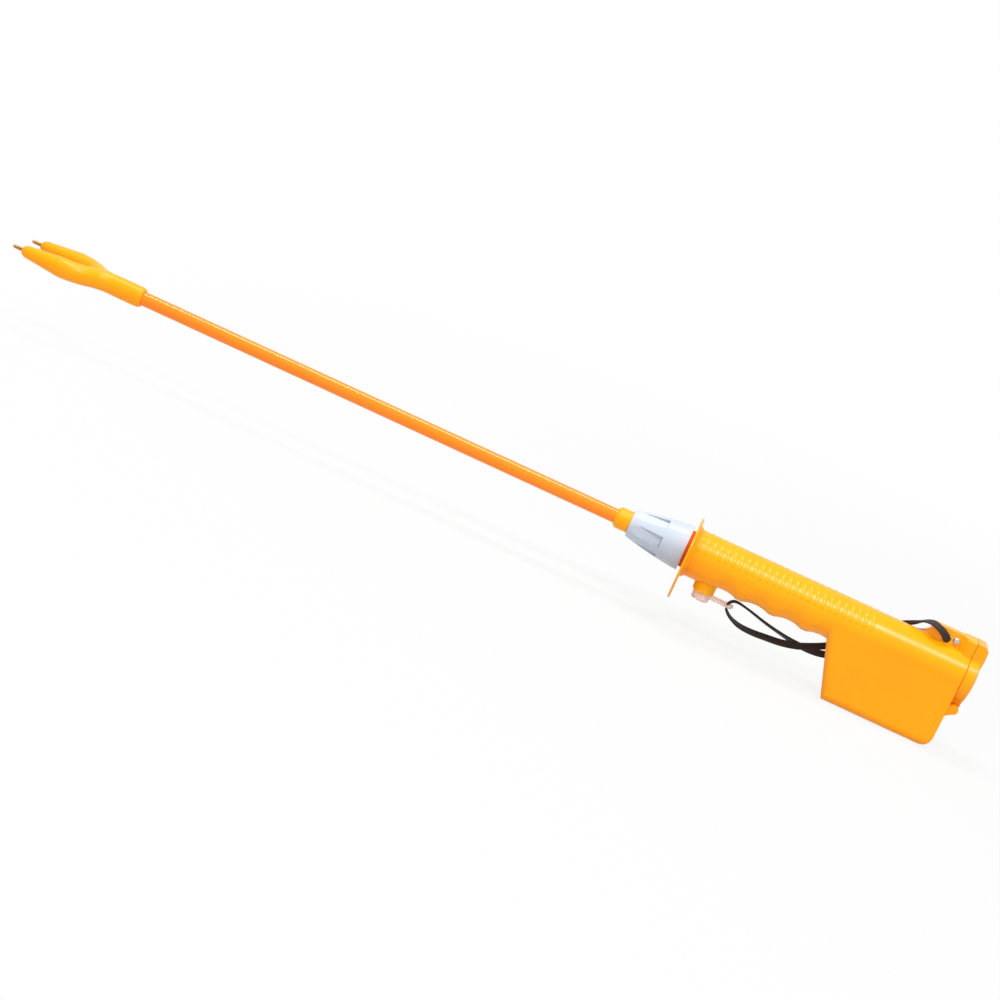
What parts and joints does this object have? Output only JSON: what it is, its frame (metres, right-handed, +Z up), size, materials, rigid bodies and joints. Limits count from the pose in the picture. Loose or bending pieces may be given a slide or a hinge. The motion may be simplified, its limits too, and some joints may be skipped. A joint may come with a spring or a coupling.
{
  "type": "cattle prodder",
  "caption": "Hand-held livestock prod: forked shaft with brass contact pins, coupling nut, round hand guard, ribbed pistol-like grip with a battery box, capped trigger and wrist strap.",
  "frame": {"origin": "middle of the flat underside of the battery box", "axes": "+X along the shaft line towards the rear door, +Z up from the box to the grip, -Y the side seen in the picture"},
  "size_m": [0.8587, 0.0696, 0.0965],
  "materials": {
    "brass": "polished",
    "head_yellow": "moulded, slightly glossy",
    "shaft_orange": "smooth tube",
    "lead_red": "insulated wire",
    "grip_yellow": "moulded, slightly glossy",
    "nut_grey": "moulded, slightly glossy",
    "seal_red": "matte",
    "steel": "plated",
    "collar_orange": "moulded, slightly glossy",
    "button_red": "moulded",
    "black_plastic": "matte",
    "pale_plastic": "matte",
    "cap_white": "soft, satin",
    "strap_black": "flat woven braid",
    "gasket_black": "matte",
    "cell_wrap": "plain shrink wrap",
    "card_sleeve": "plain card",
    "board_green": "solder mask",
    "ferrite": "matte",
    "copper": "enamelled wire",
    "capacitor_amber": "dipped",
    "aluminium": "extruded"
  },
  "bodies": {
    "handle": {"socket_contacts": "brass", "socket_body": "grip_yellow", "nut_seal": "seal_red", "hand_guard": "grip_yellow", "housing_left": "grip_yellow", "housing_right": "grip_yellow", "housing_screws": "steel", "lug_screw": "steel", "trigger_collar": "collar_orange", "trigger_spring": "steel", "trigger_switch": "black_plastic", "switch_bracket": "pale_plastic", "wrist_strap": "strap_black", "hinge_pin": "steel", "battery_cells": "cell_wrap", "battery_sleeve": "card_sleeve", "cell_contact": "brass", "circuit_board": "board_green", "board_screws": "steel", "transformer_core": "ferrite", "transformer_coil": "copper", "storage_capacitor": "capacitor_amber", "heat_sink": "aluminium", "power_transistor": "black_plastic", "wire_leads": "lead_red"},
    "shaft": {"electrode_pins": "brass", "fork_head": "head_yellow", "shaft_tube": "shaft_orange", "shaft_leads": "lead_red", "shaft_ferrule": "head_yellow", "plug_pins": "brass"},
    "collet_ring": {"collet": "grip_yellow"},
    "nut": {"coupling_nut": "nut_grey"},
    "trigger": {"trigger_button": "button_red", "switch_plunger": "black_plastic"},
    "cap": {"safety_cap": "cap_white"},
    "door": {"rear_door": "grip_yellow", "door_gasket": "gasket_black", "door_contact": "steel"}
  },
  "joints": [
    {"name": "shaft_pull", "type": "slide", "parent": "handle", "child": "shaft", "axis": [-1, 0, 0], "range_m": [0, 0.06]},
    {"name": "collet_advance", "type": "slide", "parent": "handle", "child": "collet_ring", "axis": [-1, 0, 0], "range_m": [0, 0.002]},
    {"name": "nut_turn", "type": "hinge", "parent": "collet_ring", "child": "nut", "pos_m": [-0.2148, 0, 0.0634], "axis": [-1, 0, 0], "range_deg": [0, 366]},
    {"name": "trigger_press", "type": "slide", "parent": "handle", "child": "trigger", "axis": [0, 0, 1], "range_m": [0, 0.0024], "stiffness_N_per_m": 500, "springref_m": -0.004, "deforming": ["trigger_spring"]},
    {"name": "cap_pull", "type": "slide", "parent": "handle", "child": "cap", "axis": [0, 0, -1], "range_m": [0, 0.012], "deforming": ["wrist_strap"]},
    {"name": "door_swing", "type": "hinge", "parent": "handle", "child": "door", "pos_m": [0.0561, 0, 0.0378], "axis": [0, 1, 0], "range_deg": [0, 110]}
  ],
  "couplings": [
    {"joint": "nut_turn", "follows": "collet_advance", "rad_per_m": 3141.6}
  ]
}
